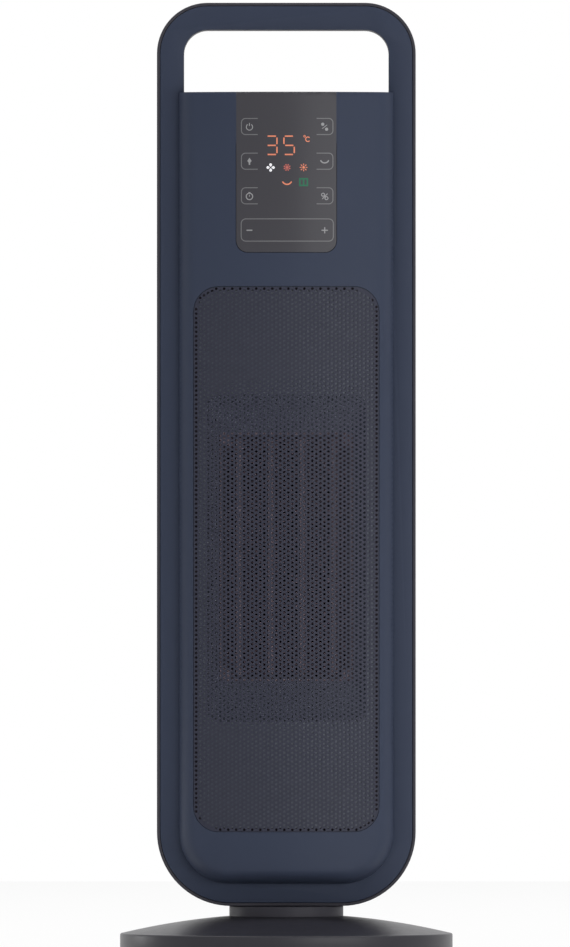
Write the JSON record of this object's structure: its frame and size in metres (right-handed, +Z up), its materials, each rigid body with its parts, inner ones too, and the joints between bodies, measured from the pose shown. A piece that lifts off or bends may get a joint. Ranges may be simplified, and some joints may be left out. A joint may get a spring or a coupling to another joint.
{
  "type": "tower fan heater",
  "caption": "Tower fan heater on an oscillating round base, with a loop handle, a touch panel, a perforated grille and a pull-off dust filter.",
  "frame": {"origin": "middle of the ground plane under the feet, on the swivel's axis", "axes": "+Z up along the tower, the grille and panel face -Y, +X is to the right in a front view"},
  "size_m": [0.2266, 0.2266, 0.65],
  "materials": {
    "charcoal_plastic": "satin moulded charcoal",
    "navy_plastic": "satin moulded navy grey",
    "panel_gloss": "smoked gloss panel with printed touch symbols",
    "grille_paint": "perforated sheet, satin grey paint",
    "black_plastic": "black moulded plastic",
    "gear_plastic": "natural acetal",
    "rubber": "matt black rubber",
    "heater_ceramic": "heater bar of ceramic tablets",
    "aluminium": "bare folded strip",
    "steel": "zinc-plated steel",
    "cast_iron": "bare casting",
    "copper_winding": "enamelled copper winding on its core",
    "circuit_board": "green circuit board",
    "filter_mesh": "fine dust mesh"
  },
  "bodies": {
    "base": {"base_cover": "charcoal_plastic", "base_plate": "black_plastic", "ballast_ring": "cast_iron", "thrust_washer": "gear_plastic", "cord_gland": "rubber", "swivel_motor": "steel", "tilt_switch": "black_plastic", "foot_1": "rubber", "foot_2": "rubber", "foot_3": "rubber", "foot_4": "rubber", "foot_5": "rubber", "base_screw_1": "steel", "base_screw_2": "steel", "base_screw_3": "steel", "base_screw_4": "steel"},
    "tower": {"swivel_neck": "charcoal_plastic", "sector_gear": "gear_plastic", "swivel_screw_1": "steel", "swivel_screw_2": "steel", "swivel_screw_3": "steel", "rear_frame": "charcoal_plastic", "front_frame": "navy_plastic", "front_shell": "navy_plastic", "rear_shell": "navy_plastic", "control_panel": "panel_gloss", "display_board": "circuit_board", "front_grille": "grille_paint", "outlet_duct": "black_plastic", "ptc_frame": "black_plastic", "ptc_bar_1": "heater_ceramic", "ptc_bar_2": "heater_ceramic", "ptc_bar_3": "heater_ceramic", "ptc_bar_4": "heater_ceramic", "fin_strip_1": "aluminium", "fin_strip_2": "aluminium", "fin_strip_3": "aluminium", "fin_strip_4": "aluminium", "fin_strip_5": "aluminium", "thermal_cutout": "steel", "fan_scroll": "black_plastic", "upper_bearing": "steel", "motor_can": "steel", "motor_end_cap": "steel", "motor_stator": "copper_winding", "electronics_tray": "black_plastic", "power_board": "circuit_board", "switch_body": "black_plastic", "shell_screw_1": "steel", "shell_screw_2": "steel", "shell_screw_3": "steel", "shell_screw_4": "steel"},
    "rotor": {"fan_wheel": "black_plastic", "fan_shaft": "steel", "motor_rotor": "steel"},
    "pinion": {"drive_pinion": "gear_plastic"},
    "rocker": {"switch_rocker": "black_plastic"},
    "intake": {"intake_cover": "navy_plastic", "dust_filter": "filter_mesh"}
  },
  "joints": [
    {"name": "oscillation", "type": "hinge", "parent": "base", "child": "tower", "pos_m": [0, 0, 0.03], "axis": [0, 0, 1], "range_deg": [-35, 35]},
    {"name": "pinion_spin", "type": "hinge", "parent": "base", "child": "pinion", "pos_m": [0, 0.05625, 0.019], "axis": [0, 0, 1], "range_deg": [-141, 141]},
    {"name": "fan_spin", "type": "hinge", "parent": "tower", "child": "rotor", "pos_m": [0, 0.02, 0.27], "axis": [0, 0, 1], "continuous": true},
    {"name": "rocker_tip", "type": "hinge", "parent": "tower", "child": "rocker", "pos_m": [0, 0.0576, 0.115], "axis": [1, 0, 0], "range_deg": [0, 16]},
    {"name": "intake_pull", "type": "slide", "parent": "tower", "child": "intake", "axis": [0, 1, 0], "range_m": [0, 0.04]}
  ],
  "couplings": [
    {"joint": "pinion_spin", "follows": "oscillation", "ratio": -4}
  ]
}
